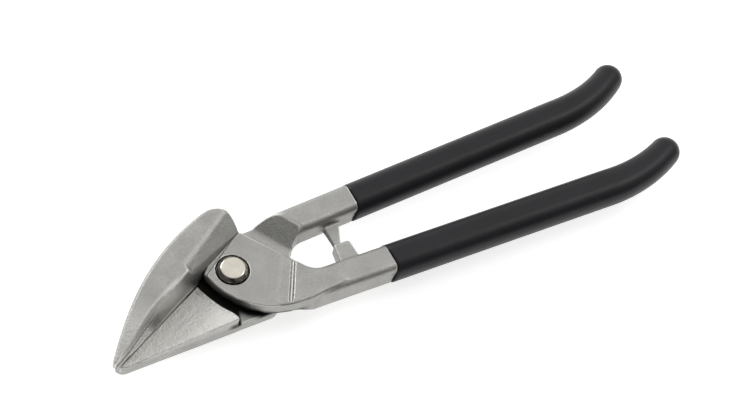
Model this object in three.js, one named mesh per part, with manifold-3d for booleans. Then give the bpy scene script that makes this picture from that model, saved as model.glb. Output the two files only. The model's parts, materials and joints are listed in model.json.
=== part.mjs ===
// Forged sheet-metal shears of the pelican pattern, 300 mm long, with one pivot.
// Units are millimetres. +Z is the pivot axis, out of the bolt head. +X runs along the handles to
// their ends, and +Y is on the side of the handle that belongs to the lower jaw.
// The origin is the centre of the bolt head's flat face. Heights below are measured from the plane
// where the two pivot discs meet, and the whole tool is then lowered by HEAD_TOP.

import * as THREE from 'three';
import { mergeVertices } from 'three/addons/utils/BufferGeometryUtils.js';
import Module from 'manifold-3d';

const wasm = await Module();
wasm.setup();

// ---- Driving dimensions ----

const RUNNING_GAP = 0.3;        // between faces that touch on the real tool
const HALF_GAP = RUNNING_GAP / 2;
const DISC = 7;                 // thickness of one pivot disc, half that of a shank
const FACETS = 48;              // sides of the bolt, the bores and the washer
const ARC_STEPS = 6;            // straight steps in each rounded corner of an outline

const BOLT_RADIUS = 5;
const BORE_RADIUS = 5.15;
const HEAD_RADIUS = 7.1;
const HEAD_FLAT_RADIUS = 5.3;
const HEAD_SEAT = 3.4;          // height of the counterbore floor under the head
const HEAD_TOP = 9;
const HEAD_RECESS_RADIUS = 7.8;
const BOLT_END = -16.2;

const WASHER_RADIUS = 10;
const WASHER_THICKNESS = 1.5;
const NUT_ACROSS_FLATS = 16;
const NUT_THICKNESS = 6;

const CUT_ANGLE = THREE.MathUtils.degToRad(26.2);   // cutting line against the handles
const CUT_OFFSET = 8.9;         // from the pivot axis to the cutting line
const BLADE_OVERLAP = 2;        // how far the lower blade reaches past the cutting line

const NECK_ANGLE = THREE.MathUtils.degToRad(32.8);  // foot of the slope up to the upper jaw
const NECK_OFFSET = 8.1;        // from the pivot axis to that foot
const NECK_RUN = 9;             // level distance that the slope takes
const JAW_TOP = 14;             // height of the upper jaw's outer face
const BEVEL_RUN = 4.3;          // level distance from the cutting edge to the ridge above it
const JAW_TIP_HEIGHT = 5;

const LOWER_JAW_EDGE = 22.8;    // from the pivot axis to the lower jaw's straight outer edge
const LOWER_JAW_SLOPE = THREE.MathUtils.degToRad(11);
const SHANK_RAMP_ANGLE = THREE.MathUtils.degToRad(32);   // direction in which the shank ramps rise
const UPPER_SHANK_RAMP_FOOT = 26.4;   // from the pivot axis to the foot of the upper handle's ramp
const LOWER_SHANK_RAMP_FOOT = 31;
const SHANK_RAMP_RUN = 10;

const STOP_PEG_HALF_HEIGHT = 1.6;
const STOP_BLOCK_TOP = 5.8;

const SHANK_HALF_WIDTH = 7.2;
const SHANK_ROUND = 3.5;
const GRIP_HALF_HEIGHT = 7.4;
const TANG_HALF_WIDTH = 6.6;
const TANG_HALF_HEIGHT = 5.6;
const GRIP_START = 69;
const GRIP_ROUND = 5.5;

// ---- Solids ----

function toSolid(geometry) {
  geometry.deleteAttribute('normal');
  geometry.deleteAttribute('uv');
  const merged = mergeVertices(geometry, 1e-4);
  const mesh = new wasm.Mesh({
    numProp: 3,
    vertProperties: new Float32Array(merged.attributes.position.array),
    triVerts: new Uint32Array(trianglesWithThreeCorners(merged.index.array)),
  });
  return new wasm.Manifold(mesh);
}

// A turned shape has triangles that shrink to a line where it meets its axis. They are left out.
function trianglesWithThreeCorners(index) {
  const kept = [];
  for (let i = 0; i < index.length; i += 3) {
    const [a, b, c] = [index[i], index[i + 1], index[i + 2]];
    if (a !== b && b !== c && c !== a) {
      kept.push(a, b, c);
    }
  }
  return kept;
}

function toGeometry(solid) {
  const mesh = solid.getMesh();
  const geometry = new THREE.BufferGeometry();
  geometry.setAttribute('position', new THREE.BufferAttribute(new Float32Array(mesh.vertProperties), 3));
  geometry.setIndex(new THREE.BufferAttribute(new Uint32Array(mesh.triVerts), 1));
  geometry.computeVertexNormals();
  return geometry;
}

function joined(solids) {
  return solids.reduce((whole, solid) => whole.add(solid));
}

// The shape's outline as straight steps, without points that fall on their neighbour.
function stepped(shape) {
  const points = shape.getPoints(ARC_STEPS);
  const kept = points.filter((point, i) => point.distanceTo(points[(i + 1) % points.length]) > 0.01);
  return new THREE.Shape(kept);
}

// A plate between two heights. Its rim is rounded by `roundWidth` inwards over `roundHeight`.
function plate(shape, bottom, top, roundWidth = 0, roundHeight = roundWidth, roundSteps = 2) {
  const geometry = new THREE.ExtrudeGeometry(stepped(shape), {
    depth: top - bottom - 2 * roundHeight,
    bevelEnabled: roundWidth > 0,
    bevelSize: roundWidth,
    bevelOffset: -roundWidth,
    bevelThickness: roundHeight,
    bevelSegments: roundSteps,
  });
  geometry.translate(0, 0, bottom + roundHeight);
  return toSolid(geometry);
}

// Everything beyond a plane through `point`, on the side that `normal` points to.
function beyond(point, normal) {
  const reach = 400;
  const geometry = new THREE.BoxGeometry(reach, reach, reach);
  geometry.translate(0, 0, reach / 2);
  const up = new THREE.Vector3(0, 0, 1);
  const turn = new THREE.Quaternion().setFromUnitVectors(up, normal.clone().normalize());
  geometry.applyQuaternion(turn);
  geometry.translate(point.x, point.y, point.z);
  return toSolid(geometry);
}

function cylinder(radius, bottom, top, sides = FACETS) {
  const geometry = new THREE.CylinderGeometry(radius, radius, top - bottom, sides);
  geometry.rotateX(Math.PI / 2);
  geometry.translate(0, 0, (top + bottom) / 2);
  return toSolid(geometry);
}

// ---- Outlines ----

// A closed outline through corners [x, y, radius], each rounded by an arc of its radius.
function roundedOutline(corners) {
  const shape = new THREE.Shape();
  corners.forEach((corner, index) => {
    const before = corners[(index + corners.length - 1) % corners.length];
    const after = corners[(index + 1) % corners.length];
    addCorner(shape, before, corner, after, index === 0);
  });
  shape.closePath();
  return shape;
}

function addCorner(shape, before, corner, after, isFirst) {
  const at = new THREE.Vector2(corner[0], corner[1]);
  const inward = new THREE.Vector2(before[0], before[1]).sub(at).normalize();
  const outward = new THREE.Vector2(after[0], after[1]).sub(at).normalize();
  const turn = Math.PI - Math.acos(inward.dot(outward));
  const reach = corner[2] * Math.tan(turn / 2);
  const start = at.clone().addScaledVector(inward, reach);
  const end = at.clone().addScaledVector(outward, reach);
  if (isFirst) {
    shape.moveTo(start.x, start.y);
  } else {
    shape.lineTo(start.x, start.y);
  }
  if (corner[2] === 0) {
    return;
  }
  const middle = inward.clone().add(outward).normalize();
  const centre = at.clone().addScaledVector(middle, Math.hypot(reach, corner[2]));
  const from = Math.atan2(start.y - centre.y, start.x - centre.x);
  const to = Math.atan2(end.y - centre.y, end.x - centre.x);
  const clockwise = inward.cross(outward) > 0;
  shape.absarc(centre.x, centre.y, corner[2], from, to, clockwise);
}

// ---- The two handles ----

// Each centre line is straight to the bend, then a curve to the centre of the round end.
const UPPER_HANDLE = {
  nearY: 13.2,
  bendX: 184,
  bendY: 19.6,
  controlX: 205,
  controlY: 20.4,
  endX: 220,
  endY: 29.4,
};
const LOWER_HANDLE = {
  nearY: -19.8,
  bendX: 188,
  bendY: -25.1,
  controlX: 207,
  controlY: -25.8,
  endX: 223.5,
  endY: -18.4,
};
const SHANK_START = 24;
const BEND_STEPS = 7;
const END_TAPER = 0.84;         // width at the round end against width before the bend

// The outline of a handle from `startX`, `halfWidth` either side of its centre line.
function handleOutline(handle, startX, halfWidth) {
  const slope = (handle.bendY - handle.nearY) / (handle.bendX - SHANK_START);
  const start = new THREE.Vector2(startX, handle.nearY + slope * (startX - SHANK_START));
  const bend = new THREE.Vector2(handle.bendX, handle.bendY);
  const control = new THREE.Vector2(handle.controlX, handle.controlY);
  const end = new THREE.Vector2(handle.endX, handle.endY);
  const curve = new THREE.QuadraticBezierCurve(bend, control, end);
  const left = [start.clone().add(new THREE.Vector2(0, halfWidth))];
  const right = [start.clone().sub(new THREE.Vector2(0, halfWidth))];
  const endHalfWidth = halfWidth * END_TAPER;
  for (let i = 0; i <= BEND_STEPS; i += 1) {
    const along = curve.getTangent(i / BEND_STEPS);
    const width = THREE.MathUtils.lerp(halfWidth, endHalfWidth, i / BEND_STEPS);
    const across = new THREE.Vector2(-along.y, along.x).multiplyScalar(width);
    left.push(curve.getPoint(i / BEND_STEPS).add(across));
    right.push(curve.getPoint(i / BEND_STEPS).sub(across));
  }
  const shape = new THREE.Shape();
  shape.setFromPoints(right);
  const heading = curve.getTangent(1).angle();
  shape.absarc(end.x, end.y, endHalfWidth, heading - Math.PI / 2, heading + Math.PI / 2, false);
  left.reverse().forEach((point) => shape.lineTo(point.x, point.y));
  shape.closePath();
  return shape;
}

function handleBar(handle, startX, halfWidth, halfHeight, round) {
  return plate(handleOutline(handle, startX, halfWidth), -halfHeight, halfHeight, round, round, 3);
}

// ---- Shared parts of the two forgings ----

const alongCut = new THREE.Vector3(Math.cos(CUT_ANGLE), Math.sin(CUT_ANGLE), 0);
const acrossCut = new THREE.Vector3(Math.sin(CUT_ANGLE), -Math.cos(CUT_ANGLE), 0);

// The steel of one handle: a full-thickness shank, then a thinner tang inside the grip. A web as
// thick as the shank follows the outline of the pivot disc. Shank and web ramp down to the disc, on
// the side given by `faceSide` (+1 top, -1 underside).
function shankAndTang(handle, discOutline, faceSide, rampFoot) {
  const shank = handleBar(handle, SHANK_START, SHANK_HALF_WIDTH, DISC, SHANK_ROUND);
  const tang = handleBar(handle, SHANK_START, TANG_HALF_WIDTH, TANG_HALF_HEIGHT, SHANK_ROUND);
  const gripSide = beyond(new THREE.Vector3(GRIP_START, 0, 0), new THREE.Vector3(1, 0, 0));
  const web = plate(discOutline, -DISC, DISC, 0.7, 0.7, 1);
  const whole = shank.subtract(gripSide).add(tang).add(web);
  const rampWay = new THREE.Vector3(Math.cos(SHANK_RAMP_ANGLE), faceSide * Math.sin(SHANK_RAMP_ANGLE), 0);
  const foot = rampWay.clone().multiplyScalar(rampFoot);
  foot.z = -faceSide * HALF_GAP;
  const normal = rampWay.clone().multiplyScalar(-DISC);
  normal.z = faceSide * SHANK_RAMP_RUN;
  return whole.subtract(beyond(foot, normal));
}

// ---- The two forgings ----

function lowerJawLever() {
  const outline = roundedOutline([
    [-64, -LOWER_JAW_EDGE, 2.2],
    [12, -LOWER_JAW_EDGE, 6],
    [35.2, 6.6, 12],
    [46, 7.2, 0],
    [46, 21.2, 0],
    [33, 19.6, 12],
    [-4, 19.6, 9],
    [-12.5, 6.4, 5],
    [-66.6, -20.6, 1.3],
  ]);
  const disc = plate(outline, -DISC, -HALF_GAP, 1.2, 1.2, 2).subtract(
    beyond(new THREE.Vector3(0, 0, -HALF_GAP), new THREE.Vector3(0, 0, 1)));
  const handle = shankAndTang(UPPER_HANDLE, outline, 1, UPPER_SHANK_RAMP_FOOT);
  return joined([disc, lowerJawFace(), handle, stopPeg()]).subtract(cylinder(BORE_RADIUS, -DISC - 1, DISC));
}

// The raised face of the lower jaw. It starts level at the cutting line and rises to its outer rim,
// and a hollow wall on its right lets the other disc turn.
function lowerJawFace() {
  const block = plate(roundedOutline([
    [-63.4, -LOWER_JAW_EDGE + 0.4, 1],
    [-6.2, -LOWER_JAW_EDGE + 0.4, 2.4],
    [-15.6, -6.3, 30],
    [-16, 2.6, 0],
    [-66, -21.2, 0.3],
  ]), -DISC + 1.5, DISC, 0);
  const onCut = acrossCut.clone().multiplyScalar(-CUT_OFFSET);
  onCut.z = -HALF_GAP;
  const normal = acrossCut.clone().multiplyScalar(-Math.sin(LOWER_JAW_SLOPE));
  normal.z = Math.cos(LOWER_JAW_SLOPE);
  const besideCut = beyond(onCut, acrossCut.clone().negate());
  return block.subtract(beyond(onCut, normal)).subtract(besideCut);
}

// The tapering peg on the upper handle that stops the handles against the block.
function stopPeg() {
  const outline = roundedOutline([
    [50.9, -5.1, 0.9],
    [53.4, -5.1, 0.9],
    [59.8, 10, 0],
    [50.1, 10, 0],
  ]);
  return plate(outline, -STOP_PEG_HALF_HEIGHT, STOP_PEG_HALF_HEIGHT, 0.4, 0.4, 1);
}

function upperJawLever() {
  const outline = roundedOutline([
    [-6.3, -25.6, 34.5],
    [26, -26.3, 10],
    [46, -27, 0],
    [46, -13.4, 0],
    [33.2, -13, 15],
    [11.8, 17, 0],
    [-12.2, 1.6, 0.8],
  ]);
  const disc = plate(outline, 0, DISC);
  const handle = shankAndTang(LOWER_HANDLE, outline, -1, LOWER_SHANK_RAMP_FOOT);
  const parts = [disc, upperJaw(), handle, stopBlock()];
  const gapBelowDisc = plate(roundedOutline([
    [-75, -40, 0],
    [22, -40, 0],
    [22, 40, 0],
    [-75, 40, 0],
  ]), -DISC - 1, HALF_GAP);
  return joined(parts)
    .subtract(gapBelowDisc)
    .subtract(cylinder(BORE_RADIUS, -1, DISC + 1))
    .subtract(cylinder(HEAD_RECESS_RADIUS, HEAD_SEAT, DISC + 1));
}

// The wide upper jaw: a thick blade with a sloping neck, a steep bevel above its cutting edge, and
// a face that falls away towards the tip.
function upperJaw() {
  const outline = new THREE.Shape();
  outline.moveTo(-66.9, -22.6);
  outline.lineTo(-16.5, 1.8);
  outline.lineTo(-12.2, 1.6);
  outline.lineTo(11.8, 17);
  outline.lineTo(9.6, 22.5);
  outline.quadraticCurveTo(7.6, 30.6, -1.6, 29.4);
  outline.quadraticCurveTo(-42, 14.6, -67.6, -20.4);
  outline.closePath();
  const block = plate(outline, 0, JAW_TOP, 0.8, 0.8, 1);
  const neckWay = new THREE.Vector3(-Math.sin(NECK_ANGLE), Math.cos(NECK_ANGLE), 0);
  const neckFoot = neckWay.clone().multiplyScalar(NECK_OFFSET);
  neckFoot.z = DISC;
  const neckNormal = neckWay.clone().multiplyScalar(-(JAW_TOP - DISC));
  neckNormal.z = NECK_RUN;
  const edge = acrossCut.clone().multiplyScalar(-CUT_OFFSET);
  const bevelNormal = acrossCut.clone().multiplyScalar(JAW_TOP);
  bevelNormal.z = BEVEL_RUN;
  const fallStart = alongCut.clone().multiplyScalar(-38);
  fallStart.z = JAW_TOP;
  const fallNormal = alongCut.clone().multiplyScalar(-(JAW_TOP - JAW_TIP_HEIGHT));
  fallNormal.z = 36;
  return block
    .add(plate(outline, 0, DISC))
    .subtract(beyond(neckFoot, neckNormal))
    .subtract(beyond(edge, bevelNormal))
    .subtract(beyond(fallStart, fallNormal));
}

// The block on the lower handle that meets the stop peg.
function stopBlock() {
  const outline = roundedOutline([
    [48.4, -18, 0],
    [57.2, -18, 0],
    [56.2, -5.4, 1.4],
    [49.2, -5.4, 1],
  ]);
  return plate(outline, -STOP_PEG_HALF_HEIGHT, STOP_BLOCK_TOP, 0.8, 0.8, 1);
}

// ---- Grips ----

// A dipped sleeve over the tang, open towards the jaws.
function grip(handle, halfWidth) {
  const outer = handleBar(handle, GRIP_START - 12, halfWidth, GRIP_HALF_HEIGHT, GRIP_ROUND);
  const cavity = handleBar(handle, SHANK_START, TANG_HALF_WIDTH + RUNNING_GAP,
    TANG_HALF_HEIGHT + RUNNING_GAP, SHANK_ROUND);
  const mouth = beyond(new THREE.Vector3(GRIP_START + RUNNING_GAP, 0, 0), new THREE.Vector3(-1, 0, 0));
  return outer.subtract(mouth).subtract(cavity);
}

// ---- Fasteners ----

function pivotBolt() {
  const chamfer = HEAD_RADIUS - HEAD_FLAT_RADIUS;
  const seat = HEAD_SEAT + RUNNING_GAP;
  const profile = [
    [0, BOLT_END],
    [BOLT_RADIUS - 1, BOLT_END],
    [BOLT_RADIUS, BOLT_END + 1],
    [BOLT_RADIUS, seat],
    [HEAD_RADIUS, seat],
    [HEAD_RADIUS, HEAD_TOP - chamfer],
    [HEAD_FLAT_RADIUS, HEAD_TOP],
    [0, HEAD_TOP],
  ];
  const points = profile.map(([radius, height]) => new THREE.Vector2(radius, height));
  const geometry = new THREE.LatheGeometry(points, FACETS);
  geometry.rotateX(Math.PI / 2);
  return toSolid(geometry);
}

function pivotWasher() {
  const top = -DISC - RUNNING_GAP;
  return cylinder(WASHER_RADIUS, top - WASHER_THICKNESS, top)
    .subtract(cylinder(BORE_RADIUS + 0.15, top - WASHER_THICKNESS - 1, top + 1));
}

function pivotNut() {
  const top = -DISC - 2 * RUNNING_GAP - WASHER_THICKNESS;
  const hexRadius = NUT_ACROSS_FLATS / 2 / Math.cos(Math.PI / 6);
  return cylinder(hexRadius, top - NUT_THICKNESS, top, 6)
    .subtract(cylinder(BORE_RADIUS + 0.15, top - NUT_THICKNESS - 1, top + 1));
}

// ---- Assembly ----

const FORGED_STEEL = { color: 0xa5a39b, roughness: 0.45, metalness: 1 };
const POLISHED_STEEL = { color: 0xcdc6b9, roughness: 0.2, metalness: 1 };
const BLACK_PLASTIC = { color: 0x1c1c1e, roughness: 0.5, metalness: 0 };

const shears = new THREE.Group();
shears.position.z = -HEAD_TOP;

function addPiece(name, solid, look) {
  const mesh = new THREE.Mesh(toGeometry(solid), new THREE.MeshStandardMaterial(look));
  mesh.name = name;
  shears.add(mesh);
}

addPiece('lower_jaw_lever', lowerJawLever(), FORGED_STEEL);
addPiece('upper_jaw_lever', upperJawLever(), FORGED_STEEL);
addPiece('pivot_bolt', pivotBolt(), POLISHED_STEEL);
addPiece('pivot_washer', pivotWasher(), POLISHED_STEEL);
addPiece('pivot_nut', pivotNut(), POLISHED_STEEL);
addPiece('upper_handle_grip', grip(UPPER_HANDLE, 8.5), BLACK_PLASTIC);
addPiece('lower_handle_grip', grip(LOWER_HANDLE, 8.7), BLACK_PLASTIC);

const tool = new THREE.Group();
tool.add(shears);

export default tool;
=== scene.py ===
"""Forged pelican-pattern sheet-metal shears, in Blender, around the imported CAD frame.

Each piece is described by a distance field: a function that is negative inside the piece and
positive outside it. Fields are joined with fillets and cut with rounded edges, as a forging is,
and surface_mesh() turns a field into a mesh. Fields are in millimetres, measured from the pivot
axis in the plane where the two pivot discs meet. Meshes are in metres, in the CAD frame.
"""

import json
import math

import bpy
import numpy as np
from mathutils import Matrix, Vector


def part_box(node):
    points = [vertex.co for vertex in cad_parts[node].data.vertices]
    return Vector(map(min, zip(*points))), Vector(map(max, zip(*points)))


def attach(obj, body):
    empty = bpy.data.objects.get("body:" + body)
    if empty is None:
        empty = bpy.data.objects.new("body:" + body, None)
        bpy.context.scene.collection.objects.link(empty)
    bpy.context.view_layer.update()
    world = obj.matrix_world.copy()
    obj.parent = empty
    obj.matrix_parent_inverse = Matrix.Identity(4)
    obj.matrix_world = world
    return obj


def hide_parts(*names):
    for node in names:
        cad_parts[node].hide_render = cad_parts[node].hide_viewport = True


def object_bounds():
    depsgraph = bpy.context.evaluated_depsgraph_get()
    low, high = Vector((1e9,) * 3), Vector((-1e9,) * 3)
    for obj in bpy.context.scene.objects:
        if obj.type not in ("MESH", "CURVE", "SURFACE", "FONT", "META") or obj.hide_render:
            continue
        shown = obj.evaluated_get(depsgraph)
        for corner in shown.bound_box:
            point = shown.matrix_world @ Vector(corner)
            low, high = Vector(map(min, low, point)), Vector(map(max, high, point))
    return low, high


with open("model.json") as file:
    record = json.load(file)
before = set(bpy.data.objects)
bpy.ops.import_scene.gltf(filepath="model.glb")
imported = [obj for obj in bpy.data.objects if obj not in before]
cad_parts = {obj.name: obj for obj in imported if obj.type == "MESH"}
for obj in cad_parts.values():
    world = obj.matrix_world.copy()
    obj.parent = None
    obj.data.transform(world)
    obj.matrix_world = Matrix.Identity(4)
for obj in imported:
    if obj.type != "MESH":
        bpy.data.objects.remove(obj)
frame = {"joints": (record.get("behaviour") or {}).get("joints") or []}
cad_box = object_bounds()

MM = 0.001
PIVOT = Vector(frame["joints"][0]["pos_m"])
LOWER_BODY = "lower_jaw_side"
UPPER_BODY = "upper_jaw_side"

# ---- Driving dimensions, in millimetres ----

HALF_GAP = 0.15
DISC = 7.0
BORE_RADIUS = 5.15
BOLT_RADIUS = 5.0
HEAD_RADIUS = 7.1
HEAD_FLAT_RADIUS = 5.3
HEAD_SEAT = 3.4
HEAD_TOP = -PIVOT.z / MM
HEAD_RECESS_RADIUS = 7.8
WASHER_RADIUS = 10.0
WASHER_MIDDLE = -8.05
WASHER_HALF_THICKNESS = 0.75
FASTENER_BORE_RADIUS = 5.3
NUT_ACROSS_FLATS = 16.0
NUT_MIDDLE = -12.1
NUT_HALF_THICKNESS = 3.0
BOLT_END = -16.2
THREAD_PITCH = 1.5

CUT_ANGLE = math.radians(26.2)
CUT_OFFSET = 8.9
NECK_ANGLE = math.radians(32.8)
NECK_OFFSET = 8.1
NECK_RUN = 9.0
NECK_DROP = 0.3
JAW_TOP = 14.0
JAW_TIP_FALL = 9.0
LOWER_JAW_EDGE = 23.1
LOWER_JAW_SLOPE = math.radians(11.0)
RIM_LIP = 0.32
RIM_GROOVE = 0.16
RAMP_ANGLE = math.radians(32.0)
UPPER_RAMP_FOOT = 27.6
LOWER_RAMP_FOOT = 31.0
RAMP_RUN = 10.0
WEB_ROUND = 2.4

SHANK_HALF_WIDTH = 7.2
SHANK_ROUND = 3.6
TANG_HALF_WIDTH = 6.6
TANG_HALF_HEIGHT = 5.6
TANG_ROUND = 4.6
GRIP_HALF_HEIGHT = 7.4
GRIP_ROUND = 7.0
UPPER_GRIP_START = 69.3
LOWER_GRIP_START = 70.6
GRIP_LEAN = 0.22
UPPER_GRIP_HALF_WIDTH = 8.5
LOWER_GRIP_HALF_WIDTH = 8.7
END_TAPER = 0.84
STOP_PEG_HALF_HEIGHT = 1.6
STOP_BLOCK_TOP = 5.8

FINE_STEP = 0.45
GRIP_STEP = 0.58
BOLT_STEP = 0.2
FASTENER_STEP = 0.25

# ---- Combining distance fields ----


def both(a, b, radius):
    """What is inside both fields. The edge where they meet is rounded by `radius`."""
    corner = np.hypot(np.maximum(a + radius, 0), np.maximum(b + radius, 0))
    return np.minimum(np.maximum(a, b), -radius) + corner


def either(a, b, radius):
    """What is inside one field or the other. The corner where they meet is filled by `radius`."""
    corner = np.hypot(np.maximum(radius - a, 0), np.maximum(radius - b, 0))
    return np.maximum(np.minimum(a, b), radius) - corner


def without(a, b, radius):
    """What is inside a and outside b."""
    return both(a, -b, radius)


def smooth_step(value, low, high):
    t = np.clip((value - low) / (high - low), 0, 1)
    return t * t * (3 - 2 * t)


# ---- Plane outlines ----


def rounded_outline(corners, arc_steps=8):
    """Points of a closed outline through corners (x, y, radius)."""
    points = []
    for i, (x, y, radius) in enumerate(corners):
        at = np.array((x, y), float)
        inward = np.array(corners[i - 1][:2], float) - at
        outward = np.array(corners[(i + 1) % len(corners)][:2], float) - at
        inward /= np.linalg.norm(inward)
        outward /= np.linalg.norm(outward)
        if radius == 0:
            points.append(at)
            continue
        half_turn = (math.pi - math.acos(np.clip(inward @ outward, -1, 1))) / 2
        reach = radius * math.tan(half_turn)
        middle = (inward + outward) / np.linalg.norm(inward + outward)
        centre = at + middle * math.hypot(reach, radius)
        start = at + inward * reach - centre
        end = at + outward * reach - centre
        for step in range(arc_steps + 1):
            t = step / arc_steps
            spoke = start * (1 - t) + end * t
            points.append(centre + spoke * radius / np.linalg.norm(spoke))
    return np.array(points)


def curve_points(start, control, end, steps=14):
    """Points along a quadratic curve, without its start."""
    start, control, end = (np.array(p, float) for p in (start, control, end))
    t = np.linspace(0, 1, steps + 1)[1:, None]
    return start * (1 - t) ** 2 + 2 * control * t * (1 - t) + end * t**2


def line_distance(points, x, y):
    """Distance in the plane from an open line of points."""
    x, y = np.broadcast_arrays(x, y)
    nearest = np.full(x.shape, 1e9)
    for (ax, ay), (bx, by) in zip(points[:-1], points[1:]):
        dx, dy = bx - ax, by - ay
        t = np.clip(((x - ax) * dx + (y - ay) * dy) / (dx * dx + dy * dy), 0, 1)
        nearest = np.minimum(nearest, np.hypot(x - ax - t * dx, y - ay - t * dy))
    return nearest


def outline_distance(points, x, y):
    """Signed distance in the plane from a closed outline, negative inside it."""
    x, y = np.broadcast_arrays(x, y)
    nearest = np.full(x.shape, 1e9)
    inside = np.zeros(x.shape, bool)
    for (ax, ay), (bx, by) in zip(points, np.roll(points, -1, axis=0)):
        dx, dy = bx - ax, by - ay
        length = dx * dx + dy * dy
        if length < 1e-12:
            continue
        t = np.clip(((x - ax) * dx + (y - ay) * dy) / length, 0, 1)
        gap = (x - ax - t * dx) ** 2 + (y - ay - t * dy) ** 2
        nearest = np.minimum(nearest, gap)
        crosses = (ay > y) != (by > y)
        if dy != 0:
            inside ^= crosses & (x < (y - ay) * dx / dy + ax)
    return np.where(inside, -1, 1) * np.sqrt(nearest)


# ---- Coordinates along the cutting edge ----


def cut_coordinates(x, y):
    """Distance along the cutting line towards the tip, and across it into the upper jaw."""
    along = -(x * math.cos(CUT_ANGLE) + y * math.sin(CUT_ANGLE))
    across = y * math.cos(CUT_ANGLE) - x * math.sin(CUT_ANGLE) - CUT_OFFSET
    return along, across


# ---- Handles ----

UPPER_HANDLE = {
    "near": (24, 13.2),
    "bend": (184, 19.6),
    "control": (205, 20.4),
    "end": (220, 29.4),
    "grip": UPPER_GRIP_START,
}
LOWER_HANDLE = {
    "near": (24, -19.8),
    "bend": (188, -25.1),
    "control": (207, -25.8),
    "end": (223.5, -18.4),
    "grip": LOWER_GRIP_START,
}


def handle_distance(handle, x, y, half_width):
    """Signed distance in the plane from a handle's outline, which narrows beyond the bend."""
    bend = curve_points(handle["bend"], handle["control"], handle["end"], 24)
    line = np.vstack([[handle["near"], handle["bend"]], bend])
    shares = np.concatenate([[0, 0], np.linspace(0, 1, 25)[1:]])
    x, y = np.broadcast_arrays(x, y)
    nearest = np.full(x.shape, 1e9)
    for i in range(len(line) - 1):
        (ax, ay), (bx, by) = line[i], line[i + 1]
        dx, dy = bx - ax, by - ay
        t = np.clip(((x - ax) * dx + (y - ay) * dy) / (dx * dx + dy * dy), 0, 1)
        share = shares[i] + t * (shares[i + 1] - shares[i])
        width = half_width * (1 - (1 - END_TAPER) * share)
        gap = np.hypot(x - ax - t * dx, y - ay - t * dy) - width
        nearest = np.minimum(nearest, gap)
    return nearest


def handle_bar(handle, half_width, half_height, rounding):
    def field(x, y, z):
        flat = handle_distance(handle, x, y, half_width)
        return both(flat, np.abs(z) - half_height, rounding)

    return field


def mouth_plane(handle, x, z, offset=0.0):
    """Positive on the grip's side of the dip line, which leans with height."""
    return (x - handle["grip"] - offset - GRIP_LEAN * (z - DISC)) / math.hypot(1, GRIP_LEAN)


def shank_and_tang(handle, x, y, z):
    shank = handle_bar(handle, SHANK_HALF_WIDTH, DISC, SHANK_ROUND)(x, y, z)
    tang = handle_bar(handle, TANG_HALF_WIDTH, TANG_HALF_HEIGHT, TANG_ROUND)(x, y, z)
    shank = both(shank, mouth_plane(handle, x, z, -0.3), 0.2)
    return np.minimum(shank, tang)


def webbed_shank(handle, disc_outline, x, y, z):
    """A handle's steel with the web, as thick as the shank, that spreads it into the pivot disc."""
    shank = shank_and_tang(handle, x, y, z)
    web = both(outline_distance(disc_outline, x, y), np.abs(z) - DISC, WEB_ROUND)
    return either(shank, web, 0.8)


# ---- The lever with the lower jaw ----

LOWER_DISC = rounded_outline(
    [
        (-64.6, -LOWER_JAW_EDGE, 4.4),
        (12, -LOWER_JAW_EDGE, 6),
        (35.2, 6.6, 12),
        (46, 9.4, 0),
        (46, 18.6, 0),
        (33, 19.6, 12),
        (-4, 19.6, 9),
        (-12.5, 6.4, 5),
        (-66.5, -19.4, 1.3),
    ]
)
RIM_LINE = [
    (-16.2, 2.2),
    (-14.6, -3.2),
    (-12.9, -8.2),
    (-10.4, -13.9),
    (-8.3, -17.8),
    (-7.4, -20.0),
    (-7.4, -23.2),
]
LOWER_FACE = np.vstack(
    [
        [(-61, -LOWER_JAW_EDGE), (-8.8, -LOWER_JAW_EDGE)],
        curve_points((-8.8, -LOWER_JAW_EDGE), (-7.3, -LOWER_JAW_EDGE), (-7.4, -21.4), 6),
        curve_points((-7.4, -21.4), (-8.0, -19.0), (-9.6, -16.4), 6),
        curve_points((-9.6, -16.4), (-13.1, -10.3), (-15.7, 1.2), 10),
        [(-15.9, 2.4), (-66.2, -21.0)],
        curve_points((-65.9, -20.8), (-64.4, -LOWER_JAW_EDGE), (-61, -LOWER_JAW_EDGE), 8),
    ]
)
STOP_PEG = rounded_outline([(50.9, -5.1, 0.9), (53.4, -5.1, 0.9), (59.8, 10, 0), (50.1, 10, 0)])


def lower_jaw_lever(x, y, z):
    disc = both(outline_distance(LOWER_DISC, x, y), z + HALF_GAP, 0.5)
    disc = both(disc, -DISC - z, 1.4)
    along, across = cut_coordinates(x, y)
    face_outline = outline_distance(LOWER_FACE, x, y)
    from_rim = line_distance(RIM_LINE, x, y)
    groove = RIM_GROOVE * np.exp(-(((from_rim - 2.5) / 0.6) ** 2))
    lip = RIM_LIP * (1 - smooth_step(from_rim, 0.7, 1.9)) - groove
    rise = (z + HALF_GAP - lip + across * math.tan(LOWER_JAW_SLOPE)) * math.cos(LOWER_JAW_SLOPE)
    face = both(face_outline, rise, 1.0 + 1.0 * smooth_step(along, 56, 68))
    bottom = -DISC + 1.3 * smooth_step(along, 35, 72) - z
    face = both(face, bottom, 1.6 + 0.8 * smooth_step(along, 56, 68))
    face = both(face, across, 0.05)
    body = either(disc, face, 0.5)
    shank = webbed_shank(UPPER_HANDLE, LOWER_DISC, x, y, z)
    reach = x * math.cos(RAMP_ANGLE) + y * math.sin(RAMP_ANGLE) - UPPER_RAMP_FOOT
    ramp = (z + HALF_GAP - reach * DISC / RAMP_RUN) / math.hypot(1, DISC / RAMP_RUN)
    body = either(body, both(shank, ramp, 1.0), 0.7)
    peg = both(outline_distance(STOP_PEG, x, y), np.abs(z) - STOP_PEG_HALF_HEIGHT, 0.5)
    body = either(body, peg, 1.4)
    return without(body, np.hypot(x, y) - BORE_RADIUS + 0 * z, 0.3)


# ---- The lever with the upper jaw ----

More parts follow.
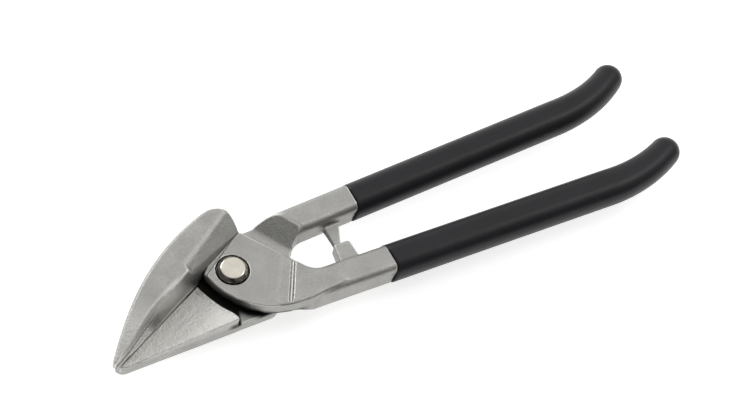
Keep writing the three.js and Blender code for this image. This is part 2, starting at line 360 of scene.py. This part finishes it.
UPPER_DISC = rounded_outline(
    [
        (-6.3, -25.6, 34.5),
        (27, -26.9, 12),
        (46, -24.5, 0),
        (46, -17, 0),
        (33.2, -13, 12),
        (11.8, 17, 0),
        (-6, 9, 0),
        (-12.4, 3.6, 0.6),
    ]
)
UPPER_JAW = np.vstack(
    [
        [(-67.2, -23.3), (-16.5, 1.7), (-14.4, 3.2), (11.8, 17), (11.7, 19.4)],
        curve_points((11.7, 19.4), (10.9, 29.8), (1.2, 29.7)),
        curve_points((1.2, 29.7), (-3.4, 28.9), (-12.4, 25.1)),
        curve_points((-12.4, 25.1), (-26, 19.2), (-38.4, 9.6)),
        curve_points((-38.4, 9.6), (-54.2, -2.4), (-68.1, -20.3), 20),
    ]
)
MILLING_LINES = [[(26.9, -6.2), (16.3, -24.2)], [(28.1, -6.6), (17.6, -24.8)]]
STOP_BLOCK = rounded_outline([(47.0, -18, 0), (57.2, -18, 0), (56.6, -5.4, 1.6), (48.8, -5.4, 0.5)])
RIDGE_LINE = (
    [14, 20, 28, 36, 40, 44, 48, 52, 56, 60, 64, 70],
    [3.9, 3.3, 3.0, 4.3, 4.6, 4.4, 4.0, 3.4, 2.9, 2.5, 2.1, 1.5],
)
GROOVE_LINE = ([30, 44, 48, 52, 56, 60, 66], [3.4, 3.1, 2.8, 2.4, 1.9, 1.5, 1.1])


def bevel_height(along, across):
    """Height of the bevel above the cutting edge: a crown by the heel, a strip and a wall by the tip."""
    ridge = np.interp(along, *RIDGE_LINE)
    groove = np.interp(along, *GROOVE_LINE)
    crown = 0.4 + 13.6 * np.clip(across / ridge, 0.001, 1.5) ** 0.6
    wall = np.maximum(across - groove, 0) / np.maximum(ridge - groove, 0.3)
    strip = 0.4 + 0.65 * across + 10 * wall**1.1
    return crown + (strip - crown) * smooth_step(along, 30, 46)


def bevel_distance(along, across, z):
    """About the distance above the bevel."""
    height = bevel_height(along, across)
    slope = (bevel_height(along, across + 0.2) - height) / 0.2
    return (z - height) / np.hypot(1, np.minimum(slope, 6))


def upper_jaw(x, y, z):
    along, across = cut_coordinates(x, y)
    beyond_neck = neck_coordinate(x, y)
    neck_slope = (JAW_TOP - DISC) / NECK_RUN
    clear = 6 * smooth_step(along, 14, 20)
    neck = (z - DISC + NECK_DROP - clear - beyond_neck * neck_slope) / math.hypot(1, neck_slope)
    fall = JAW_TIP_FALL * np.clip((along - 28) / 41, 0, 1.2) ** 1.7
    top = (z - JAW_TOP + fall) * 0.97
    jaw = both(outline_distance(UPPER_JAW, x, y), top, 1.8)
    jaw = both(jaw, neck, 1.1)
    jaw = both(jaw, bevel_distance(along, across, z), 0.8 - 0.4 * smooth_step(along, 30, 44))
    jaw = both(jaw, -across, 0.05)
    return both(jaw, HALF_GAP - z, 0.1)


def neck_coordinate(x, y):
    """Distance beyond the foot of the neck, towards the upper jaw."""
    return y * math.cos(NECK_ANGLE) - x * math.sin(NECK_ANGLE) - NECK_OFFSET


def upper_jaw_lever(x, y, z):
    disc = both(outline_distance(UPPER_DISC, x, y), z - DISC, 0.8)
    disc = both(disc, HALF_GAP - z, 0.5)
    disc = both(disc, np.minimum(neck_coordinate(x, y), z - DISC + 1), 0.4)
    body = np.minimum(disc, upper_jaw(x, y, z))
    shank = webbed_shank(LOWER_HANDLE, UPPER_DISC, x, y, z)
    reach = x * math.cos(RAMP_ANGLE) - y * math.sin(RAMP_ANGLE) - LOWER_RAMP_FOOT
    ramp = (HALF_GAP - z - reach * DISC / RAMP_RUN) / math.hypot(1, DISC / RAMP_RUN)
    body = either(body, both(shank, ramp, 1.0), 1.0)
    for line in MILLING_LINES:
        body = without(body, line_distance(line, x, y) - 0.35 + np.maximum(DISC - z, 0), 0.1)
    block_height = np.maximum(z - STOP_BLOCK_TOP, -STOP_PEG_HALF_HEIGHT - z)
    block = both(outline_distance(STOP_BLOCK, x, y), block_height, 0.7)
    body = either(body, block, 0.45)
    from_axis = np.hypot(x, y)
    body = without(body, from_axis - BORE_RADIUS + 0 * z, 0.2)
    recess = np.maximum(from_axis - HEAD_RECESS_RADIUS, HEAD_SEAT - z)
    return without(body, recess, 0.25)


# ---- Grips ----


def grip(handle, half_width):
    def field(x, y, z):
        outer = handle_bar(handle, half_width, GRIP_HALF_HEIGHT, GRIP_ROUND)(x, y, z)
        outer = both(outer, -mouth_plane(handle, x, z), 0.6)
        cavity = handle_bar(handle, TANG_HALF_WIDTH + 0.3, TANG_HALF_HEIGHT + 0.3, TANG_ROUND)(x, y, z)
        return without(outer, cavity, 0.1)

    return field


# ---- Fasteners ----


def pivot_bolt(x, y, z):
    radius = np.hypot(x, y)
    head = both(radius - HEAD_RADIUS + 0 * z, z - HEAD_TOP, 0.15)
    cone = (radius - HEAD_FLAT_RADIUS + z - HEAD_TOP) / math.sqrt(2)
    head = both(head, cone, 0.35)
    head = both(head, HEAD_SEAT + 0.3 - z, 0.2)
    turn = np.arctan2(y, x) / (2 * math.pi)
    thread = np.abs((z / THREAD_PITCH + turn) % 1 - 0.5) * 1.3 * smooth_step(-z, 8.6, 9.6)
    shank = both(radius - BOLT_RADIUS + thread, BOLT_END - z, 0.7)
    shank = np.maximum(shank, z - HEAD_TOP + 1)
    return np.minimum(head, shank)


def pivot_washer(x, y, z):
    radius = np.hypot(x, y)
    ring = np.maximum(radius - WASHER_RADIUS, FASTENER_BORE_RADIUS - radius) + 0 * z
    return both(ring, np.abs(z - WASHER_MIDDLE) - WASHER_HALF_THICKNESS, 0.3)


def pivot_nut(x, y, z):
    radius = np.hypot(x, y)
    flats = np.maximum(np.abs(x), np.abs(x) / 2 + np.abs(y) * math.sqrt(3) / 2) - NUT_ACROSS_FLATS / 2
    hexagon = both(flats + 0 * z, FASTENER_BORE_RADIUS - radius + 0 * z, 0.2)
    from_middle = np.abs(z - NUT_MIDDLE)
    body = both(hexagon, from_middle - NUT_HALF_THICKNESS, 0.2)
    crown = (radius - 9.4 + from_middle * 1.5 - 3.2) / math.hypot(1, 1.5)
    return both(body, crown, 0.2)


# ---- Mesh from a field ----

CORNERS = [(i, j, k) for i in (0, 1) for j in (0, 1) for k in (0, 1)]
EDGES = [(a, b) for a in range(8) for b in range(a + 1, 8) if bin(a ^ b).count("1") == 1]


def grid_values(field, axes):
    x, y, z = axes
    values = field(x[:, None, None], y[None, :, None], z[None, None, :])
    return np.ascontiguousarray(np.broadcast_to(values, (len(x), len(y), len(z))))


def cell_points(values, axes, step):
    """One point in each cell that the surface passes through, and each cell's point number."""
    nx, ny, nz = (n - 1 for n in values.shape)
    shifted = [values[i : i + nx, j : j + ny, k : k + nz] for i, j, k in CORNERS]
    inside = sum((v < 0).astype(np.int8) for v in shifted)
    active = (inside > 0) & (inside < 8)
    number = np.full(active.shape, -1, np.int64)
    number[active] = np.arange(active.sum())
    corner = np.array([v[active] for v in shifted])
    total = np.zeros((corner.shape[1], 3))
    count = np.zeros(corner.shape[1])
    for a, b in EDGES:
        crossed = (corner[a] < 0) != (corner[b] < 0)
        gap = np.where(crossed, corner[a] - corner[b], 1)
        t = np.where(crossed, corner[a] / gap, 0)[:, None]
        place = np.array(CORNERS[a]) * (1 - t) + np.array(CORNERS[b]) * t
        total += place * crossed[:, None]
        count += crossed
    cells = np.argwhere(active)
    low = np.array([axis[0] for axis in axes])
    return low + (cells + total / count[:, None]) * step, number


def cell_faces(values, number):
    """A quad around each grid edge that crosses the surface, facing out."""
    faces = []
    for axis in range(3):
        others = [a for a in range(3) if a != axis]
        first = np.moveaxis(values, axis, 0)
        cells = np.moveaxis(number, axis, 0)
        low, high = first[:-1, 1:-1, 1:-1] < 0, first[1:, 1:-1, 1:-1] < 0
        crossed = np.argwhere(low != high)
        i, j, k = crossed.T
        quad = np.stack([cells[i, j, k], cells[i, j + 1, k], cells[i, j + 1, k + 1], cells[i, j, k + 1]], 1)
        outward = low[i, j, k]
        if others == [0, 2]:
            outward = ~outward
        faces.append(np.where(outward[:, None], quad, quad[:, ::-1]))
    return np.vstack(faces)


def gradient(field, points, reach=0.02):
    here = evaluate(field, points)
    slopes = [(evaluate(field, points + reach * axis) - here) / reach for axis in np.eye(3)]
    return here, np.stack(slopes, 1)


def evaluate(field, points):
    return np.broadcast_to(field(points[:, 0], points[:, 1], points[:, 2]), (len(points),))


def pull_to_surface(field, points, step):
    value, slope = gradient(field, points)
    square = np.maximum((slope**2).sum(1), 0.05)
    move = -slope * (value / square)[:, None]
    size = np.linalg.norm(move, axis=1, keepdims=True)
    return points + move * np.minimum(1, 0.6 * step / np.maximum(size, 1e-9))


def relaxed(points, faces, share):
    """Each point moved towards the middle of its neighbours, which evens out the quads."""
    total = np.zeros_like(points)
    count = np.zeros(len(points))
    for a in range(4):
        for b in ((a + 1) % 4, (a + 3) % 4):
            np.add.at(total, faces[:, a], points[faces[:, b]])
            np.add.at(count, faces[:, a], 1)
    return points + share * (total / count[:, None] - points)


def curvature(field, points, reach=0.5):
    """How sharply the surface turns: positive on edges, negative in corners, in 1/mm."""
    total = -6 * evaluate(field, points)
    for axis in np.eye(3):
        total = total + evaluate(field, points + reach * axis) + evaluate(field, points - reach * axis)
    return total / reach**2


def set_mark(mesh, name, values):
    """A number from 0 to 1 at each point of the mesh, for its material to read."""
    attribute = mesh.attributes.new(name, "FLOAT", "POINT")
    attribute.data.foreach_set("value", np.ascontiguousarray(values, np.float32))


def surface_mesh(name, field, low, high, step, wear=None, marks=None):
    """A mesh object whose surface is where `field` is zero, between two corners."""
    axes = [np.arange(a, b + step, step) for a, b in zip(low, high)]
    values = grid_values(field, axes)
    points, number = cell_points(values, axes, step)
    faces = cell_faces(values, number)
    for _ in range(2):
        points = relaxed(pull_to_surface(field, points, step), faces, 0.5)
    for _ in range(2):
        points = pull_to_surface(field, points, step)
    edge = curvature(field, points)
    if wear is not None:
        _, slope = gradient(field, points)
        normal = slope / np.maximum(np.linalg.norm(slope, axis=1, keepdims=True), 1e-9)
        points = points + normal * wear(points)[:, None]
    mesh = bpy.data.meshes.new(name)
    mesh.from_pydata((points * MM + np.array(PIVOT)).tolist(), [], faces.tolist())
    # Bright edges where the surface turns outward: partly wear, partly a painted highlight along the
    # ridges.
    set_mark(mesh, "wear_and_highlight", smooth_step(edge, 0.5, 1.6))
    # Painted shade in concave corners and creases.
    set_mark(mesh, "corner_shade", smooth_step(-edge, 0.3, 1.5))
    if marks is not None:
        for mark, values in marks(points).items():
            set_mark(mesh, mark, values)
    mesh.shade_smooth()
    piece = bpy.data.objects.new(name, mesh)
    bpy.context.scene.collection.objects.link(piece)
    return piece


# ---- Uneven surface of a forging ----


def lattice_noise(points, size, seed):
    """Smooth noise between -1 and 1 with features about `size` across."""
    rng = np.random.default_rng(seed)
    table = rng.uniform(-1, 1, (32, 32, 32))
    scaled = points / size
    cell = np.floor(scaled).astype(int)
    t = scaled - cell
    t = t * t * (3 - 2 * t)
    total = np.zeros(len(points))
    for i, j, k in CORNERS:
        weight_x = t[:, 0] if i else 1 - t[:, 0]
        weight_y = t[:, 1] if j else 1 - t[:, 1]
        weight_z = t[:, 2] if k else 1 - t[:, 2]
        weight = weight_x * weight_y * weight_z
        corner = (cell + (i, j, k)) % 32
        total += weight * table[corner[:, 0], corner[:, 1], corner[:, 2]]
    return total


# ---- Materials ----


def new_material(name):
    material = bpy.data.materials.new(name)
    material.use_nodes = True
    nodes = material.node_tree.nodes
    nodes.clear()
    shader = nodes.new("ShaderNodeBsdfPrincipled")
    output = nodes.new("ShaderNodeOutputMaterial")
    material.node_tree.links.new(shader.outputs[0], output.inputs[0])
    return material, nodes, material.node_tree.links, shader


def noise_node(nodes, links, scale, detail, place):
    node = nodes.new("ShaderNodeTexNoise")
    node.inputs["Scale"].default_value = scale
    node.inputs["Detail"].default_value = detail
    links.new(place, node.inputs["Vector"])
    return node.outputs["Fac"]


def ramp_node(nodes, links, value, stops):
    node = nodes.new("ShaderNodeValToRGB")
    links.new(value, node.inputs["Fac"])
    ramp = node.color_ramp
    while len(ramp.elements) < len(stops):
        ramp.elements.new(0.5)
    for element, (position, colour) in zip(ramp.elements, stops):
        element.position = position
        element.color = (*colour, 1)
    return node.outputs["Color"]


def range_node(nodes, links, value, low, high, start=0.0, end=1.0):
    node = nodes.new("ShaderNodeMapRange")
    links.new(value, node.inputs["Value"])
    node.inputs["From Min"].default_value = start
    node.inputs["From Max"].default_value = end
    node.inputs["To Min"].default_value = low
    node.inputs["To Max"].default_value = high
    return node.outputs["Result"]


def bump_node(nodes, links, height, distance, strength, below=None):
    node = nodes.new("ShaderNodeBump")
    node.inputs["Distance"].default_value = distance
    node.inputs["Strength"].default_value = strength
    links.new(height, node.inputs["Height"])
    if below is not None:
        links.new(below, node.inputs["Normal"])
    return node.outputs["Normal"]


def object_place(nodes):
    return nodes.new("ShaderNodeTexCoord").outputs["Object"]


def mark_node(nodes, name):
    node = nodes.new("ShaderNodeAttribute")
    node.attribute_name = name
    return node.outputs["Fac"]


def mix_node(nodes, links, share, first, second):
    """Between two colours, or two numbers, by a share. Each is a socket or a plain value."""
    node = nodes.new("ShaderNodeMix")
    colour = not isinstance(second, float)
    node.data_type = "RGBA" if colour else "FLOAT"
    kind = "RGBA" if colour else "VALUE"
    sockets = [socket for socket in node.inputs if socket.type == kind and socket.name in "AB"]
    for socket, value in zip(sockets, (first, second)):
        if isinstance(value, bpy.types.NodeSocket):
            links.new(value, socket)
        else:
            socket.default_value = (*value, 1) if colour else value
    links.new(share, node.inputs["Factor"])
    return next(socket for socket in node.outputs if socket.type == kind)


def product_node(nodes, links, first, second):
    node = nodes.new("ShaderNodeMath")
    node.operation = "MULTIPLY"
    for socket, value in zip(node.inputs, (first, second)):
        if isinstance(value, bpy.types.NodeSocket):
            links.new(value, socket)
        else:
            socket.default_value = value
    return node.outputs["Value"]


def forged_steel():
    """Blasted forging: fine grain, slow changes of tone, bright edges that are partly wear and partly
    painted highlight, painted shade in the corners and between the levers, and a pale rough skin that is
    also a painted highlight on the upper jaw's bevel and tip.
    """
    material, nodes, links, shader = new_material("forged_steel")
    place = object_place(nodes)
    clouds = noise_node(nodes, links, 110, 4, place)
    tone = ramp_node(nodes, links, clouds, [(0.3, (0.35, 0.347, 0.33)), (0.7, (0.42, 0.415, 0.395))])
    speck = range_node(nodes, links, noise_node(nodes, links, 1500, 3, place), 0.0, 0.45, 0.42, 0.72)
    # Lighter edges: partly wear, partly a painted highlight.
    wear_and_highlight = product_node(nodes, links, mark_node(nodes, "wear_and_highlight"), 0.7)
    # Painted shade in the concave corners.
    corner_shade = product_node(nodes, links, mark_node(nodes, "corner_shade"), 0.45)
    tone = mix_node(nodes, links, speck, tone, (0.24, 0.235, 0.225))
    # Paler rough skin: the forging's own skin on the lower jaw's face, and a painted highlight on the upper
    # jaw's bevel and tip.
    tone = mix_node(nodes, links, mark_node(nodes, "rough_skin_and_highlight"), tone, (0.76, 0.75, 0.72))
    tone = mix_node(nodes, links, wear_and_highlight, tone, (0.78, 0.77, 0.745))
    tone = mix_node(nodes, links, corner_shade, tone, (0.12, 0.118, 0.11))
    # Near-black painted shade in the gaps between the levers and beside the stop peg.
    tone = mix_node(nodes, links, mark_node(nodes, "painted_shade_and_reflection"), tone, (0.012, 0.012, 0.011))
    links.new(tone, shader.inputs["Base Color"])
    patch = noise_node(nodes, links, 500, 5, place)
    rough = range_node(nodes, links, patch, 0.40, 0.52)
    rough = mix_node(nodes, links, mark_node(nodes, "rough_skin_and_highlight"), rough, 0.62)
    links.new(rough, shader.inputs["Roughness"])
    skin = bump_node(nodes, links, noise_node(nodes, links, 1100, 4, place), 0.0006, 1.0)
    skin_strength = range_node(nodes, links, mark_node(nodes, "rough_skin_and_highlight"), 0.22, 1.0)
    links.new(skin_strength, skin.node.inputs["Strength"])
    fine = bump_node(nodes, links, noise_node(nodes, links, 2600, 3, place), 0.0001, 0.6, skin)
    links.new(fine, shader.inputs["Normal"])
    shader.inputs["Metallic"].default_value = 1
    return material


def turned_steel(name, dark, light, rough_low, rough_high, grain):
    """Bright steel from a lathe: fine rings, painted shade in the corners, and streaked painted shade on
    marked faces, which on the bolt's head is a painted dark reflection.
    """
    material, nodes, links, shader = new_material(name)
    place = object_place(nodes)
    tone = ramp_node(nodes, links, noise_node(nodes, links, 200, 4, place), [(0.3, dark), (0.7, light)])
    # Painted shade in the concave corners.
    corner_shade = product_node(nodes, links, mark_node(nodes, "corner_shade"), 0.7)
    streaks = range_node(nodes, links, noise_node(nodes, links, 400, 3, place), 0.25, 1.0, 0.4, 0.6)
    # Streaked painted shade on marked faces; on the bolt's head it is a painted dark reflection.
    painted_shade_and_reflection = product_node(nodes, links, mark_node(nodes, "painted_shade_and_reflection"), streaks)
    tone = mix_node(nodes, links, corner_shade, tone, (0.05, 0.048, 0.045))
    tone = mix_node(nodes, links, painted_shade_and_reflection, tone, (0.02, 0.018, 0.016))
    links.new(tone, shader.inputs["Base Color"])
    rings = nodes.new("ShaderNodeTexWave")
    rings.wave_type = "RINGS"
    rings.rings_direction = "Z"
    rings.inputs["Scale"].default_value = 700
    rings.inputs["Distortion"].default_value = 1.5
    links.new(place, rings.inputs["Vector"])
    patch = noise_node(nodes, links, 700, 5, place)
    links.new(range_node(nodes, links, patch, rough_low, rough_high), shader.inputs["Roughness"])
    ring_bump = bump_node(nodes, links, rings.outputs["Fac"], 0.00002, grain)
    links.new(bump_node(nodes, links, patch, 0.00003, grain, ring_bump), shader.inputs["Normal"])
    shader.inputs["Metallic"].default_value = 1
    return material


def dipped_plastic():
    material, nodes, links, shader = new_material("dipped_plastic")
    place = object_place(nodes)
    tone = noise_node(nodes, links, 60, 3, place)
    colours = [(0.3, (0.006, 0.005, 0.007)), (0.75, (0.009, 0.008, 0.011))]
    links.new(ramp_node(nodes, links, tone, colours), shader.inputs["Base Color"])
    patch = noise_node(nodes, links, 250, 4, place)
    links.new(range_node(nodes, links, patch, 0.34, 0.44), shader.inputs["Roughness"])
    wave = bump_node(nodes, links, noise_node(nodes, links, 120, 2, place), 0.0006, 0.25)
    fine = bump_node(nodes, links, noise_node(nodes, links, 2500, 2, place), 0.00004, 0.4, wave)
    links.new(fine, shader.inputs["Normal"])
    shader.inputs["Specular IOR Level"].default_value = 0.33
    return material


# ---- Building the pieces ----


def add_piece(name, node, body, material, field, step, margin=1.5, wear=None, marks=None):
    """The fine piece that stands for one CAD node, in the space that node fills."""
    low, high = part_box(node)
    low = [(a - b) / MM - margin for a, b in zip(low, PIVOT)]
    high = [(a - b) / MM + margin for a, b in zip(high, PIVOT)]
    piece = surface_mesh(name, field, low, high, step, wear, marks)
    piece.data.materials.append(material)
    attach(piece, body)
    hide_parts(node)
    return piece


def on_cast_face(points):
    """1 on the lower jaw's top face, which keeps the rough skin of the forging, else 0."""
    x, y, z = points.T
    _, across = cut_coordinates(x, y)
    high = smooth_step(z, -1.6, -0.4)
    within = smooth_step(-outline_distance(LOWER_FACE, x, y), -0.3, 0.6)
    return high * within * smooth_step(-across, 0, 0.6)


def lower_lever_skin(points):
    fine = 0.03 * lattice_noise(points, 5.0, 3) + 0.02 * lattice_noise(points, 1.3, 4)
    rough = 0.045 * lattice_noise(points, 2.1, 5) + 0.10 * lattice_noise(points, 0.95, 6)
    return fine + rough * on_cast_face(points)


def upper_lever_skin(points):
    return 0.03 * lattice_noise(points, 5.0, 7) + 0.018 * lattice_noise(points, 1.3, 8)


def lower_lever_marks(points):
    """Painted black shade in the gap where the upper lever's disc sweeps and on the side of the stop peg,
    and the rough face.
    """
    x, y, z = points.T
    # Painted shade: the running surface beside the upper lever's disc is made as dark as the shadow in that
    # gap.
    level = smooth_step(z, -3.0, -0.6) * (1 - smooth_step(z, 0.2, 3.0))
    beside_disc = 2.4 + 9 * smooth_step(-x, 4, 8)
    near_disc = 1 - smooth_step(outline_distance(UPPER_DISC, x, y), beside_disc - 1.4, beside_disc + 1.4)
    inner = 1 - smooth_step(x, 24, 30)
    rough = on_cast_face(points)
    # Painted shadow on the side of the stop peg.
    peg_side = smooth_step(x, 47, 49) * (1 - smooth_step(x, 50.9, 51.6)) * (1 - smooth_step(y, 5, 8))
    return {"painted_shade_and_reflection": level * near_disc * inner * (1 - rough) + 0.8 * peg_side * level, "rough_skin_and_highlight": rough}


def upper_lever_marks(points):
    """Painted shade low on the disc's edge and in the notch beside the jaw; a painted highlight that pales
    the bevel's upper part and the tip.
    """
    x, y, z = points.T
    along, across = cut_coordinates(x, y)
    # Painted highlight: a paler upper bevel near the heel and a paler tip.
    bevel = 0.45 * smooth_step(z, 4, 9) * (1 - smooth_step(across, 4.5, 6)) * smooth_step(along, 20, 26)
    tip = 0.5 * smooth_step(along, 36, 56)
    # Painted shade low on the disc's edge, towards the notch beside the jaw.
    low = 1 - smooth_step(z, 0.5, 4.5 - 2.5 * smooth_step(x, -4, 14))
    inner = smooth_step(x, -15.5, -13.5) * (1 - smooth_step(x, 20, 27)) * (1 - smooth_step(y, 3, 6))
    return {"painted_shade_and_reflection": low * inner, "rough_skin_and_highlight": np.maximum(bevel, tip)}


def bolt_marks(points):
    """A painted dark reflection on the head outside its flat top, on the chamfer and round the side."""
    x, y, _ = points.T
    # Painted dark reflection on the head's chamfer and side.
    return {"painted_shade_and_reflection": 0.85 * smooth_step(np.hypot(x, y), HEAD_FLAT_RADIUS + 0.1, HEAD_FLAT_RADIUS + 0.5)}


steel = forged_steel()
bolt_steel = turned_steel("polished_steel", (0.60, 0.565, 0.50), (0.68, 0.64, 0.565), 0.12, 0.22, 0.2)
plated_steel = turned_steel("plated_steel", (0.42, 0.42, 0.41), (0.52, 0.52, 0.50), 0.25, 0.38, 0.3)
plastic = dipped_plastic()

add_piece(
    "lower_jaw_forging",
    "lower_jaw_lever",
    LOWER_BODY,
    steel,
    lower_jaw_lever,
    FINE_STEP,
    wear=lower_lever_skin,
    marks=lower_lever_marks,
)
add_piece(
    "upper_jaw_forging",
    "upper_jaw_lever",
    UPPER_BODY,
    steel,
    upper_jaw_lever,
    FINE_STEP,
    wear=upper_lever_skin,
    marks=upper_lever_marks,
)
add_piece(
    "bolt_with_chamfered_head",
    "pivot_bolt",
    LOWER_BODY,
    bolt_steel,
    pivot_bolt,
    BOLT_STEP,
    marks=bolt_marks,
)
add_piece(
    "plain_washer",
    "pivot_washer",
    LOWER_BODY,
    plated_steel,
    pivot_washer,
    FASTENER_STEP,
)
add_piece(
    "hexagon_nut",
    "pivot_nut",
    LOWER_BODY,
    plated_steel,
    pivot_nut,
    FASTENER_STEP,
)
add_piece(
    "upper_dipped_grip",
    "upper_handle_grip",
    LOWER_BODY,
    plastic,
    grip(UPPER_HANDLE, UPPER_GRIP_HALF_WIDTH),
    GRIP_STEP,
    margin=4,
)
add_piece(
    "lower_dipped_grip",
    "lower_handle_grip",
    UPPER_BODY,
    plastic,
    grip(LOWER_HANDLE, LOWER_GRIP_HALF_WIDTH),
    GRIP_STEP,
    margin=4,
)

# ---- Stage, light and camera ----


def add_floor():
    height = cad_box[0].z
    mesh = bpy.data.meshes.new("floor")
    size = 3.0
    corners = [(-size, -size), (size, -size), (size, size), (-size, size)]
    mesh.from_pydata([(x, y, height) for x, y in corners], [], [(0, 1, 2, 3)])
    floor = bpy.data.objects.new("floor", mesh)
    bpy.context.scene.collection.objects.link(floor)
    material, nodes, links, shader = new_material("pale_floor")
    tone = noise_node(nodes, links, 4, 2, object_place(nodes))
    colours = [(0, (0.78, 0.78, 0.78)), (1, (0.8, 0.8, 0.8))]
    links.new(ramp_node(nodes, links, tone, colours), shader.inputs["Base Color"])
    shader.inputs["Roughness"].default_value = 0.9
    shader.inputs["Emission Color"].default_value = (1, 1, 1, 1)
    shader.inputs["Emission Strength"].default_value = 0.65
    mesh.materials.append(material)


def add_area_light(name, place, target, size, power):
    light = bpy.data.lights.new(name, "AREA")
    light.shape = "RECTANGLE"
    light.size, light.size_y = size
    light.energy = power
    lamp = bpy.data.objects.new(name, light)
    lamp.location = place
    lamp.rotation_euler = (Vector(target) - Vector(place)).to_track_quat("-Z", "Y").to_euler()
    bpy.context.scene.collection.objects.link(lamp)


def add_world(dim, bright):
    """Soft light from all round, dimmer from one side, as in a studio with one dark wall."""
    world = bpy.data.worlds.new("studio")
    world.use_nodes = True
    nodes, links = world.node_tree.nodes, world.node_tree.links
    direction = nodes.new("ShaderNodeTexCoord").outputs["Generated"]
    dot = nodes.new("ShaderNodeVectorMath")
    dot.operation = "DOT_PRODUCT"
    dot.inputs[1].default_value = (0.38, 0.51, 0.77)
    links.new(direction, dot.inputs[0])
    blend = nodes.new("ShaderNodeMapRange")
    blend.interpolation_type = "SMOOTHSTEP"
    blend.inputs["From Min"].default_value = -0.05
    blend.inputs["From Max"].default_value = 0.93
    blend.inputs["To Min"].default_value = dim
    blend.inputs["To Max"].default_value = bright
    links.new(dot.outputs["Value"], blend.inputs["Value"])
    background = nodes["Background"]
    background.inputs["Color"].default_value = (1, 1, 1, 1)
    links.new(blend.outputs["Result"], background.inputs["Strength"])
    bpy.context.scene.world = world


def add_camera(azimuth, elevation, roll, distance, target, lens):
    """A camera that looks at `target` (mm, in the pivot plane) from an azimuth and elevation."""
    azimuth, elevation, roll = (math.radians(a) for a in (azimuth, elevation, roll))
    flat = math.cos(elevation)
    back = Vector((math.sin(azimuth) * flat, -math.cos(azimuth) * flat, math.sin(elevation)))
    level = Vector((math.cos(azimuth), math.sin(azimuth), 0))
    up = back.cross(level)
    right = level * math.cos(roll) - up * math.sin(roll)
    up = level * math.sin(roll) + up * math.cos(roll)
    data = bpy.data.cameras.new("camera")
    data.lens = lens
    data.sensor_width = 36
    data.clip_end = 20
    camera = bpy.data.objects.new("camera", data)
    place = Vector(target) * MM + PIVOT + back * distance * MM
    turn = Matrix((right, up, back)).transposed().to_4x4()
    camera.matrix_world = Matrix.Translation(place) @ turn
    bpy.context.scene.collection.objects.link(camera)
    bpy.context.scene.camera = camera


add_floor()
add_world(dim=0.12, bright=1.02)
add_area_light("rim", place=(-0.35, 1.5, 0.75), target=(0.05, 0, 0), size=(1.2, 0.5), power=8)
add_area_light("glint", place=(1.0, -0.15, 1.2), target=(0.05, 0, 0), size=(0.5, 0.4), power=2.5)
bpy.context.scene.view_settings.view_transform = "Standard"
add_camera(
    azimuth=-40.96,
    elevation=55.505,
    roll=-15.267,
    distance=1122.19,
    target=(74.752, 10.857, 0),
    lens=120,
)
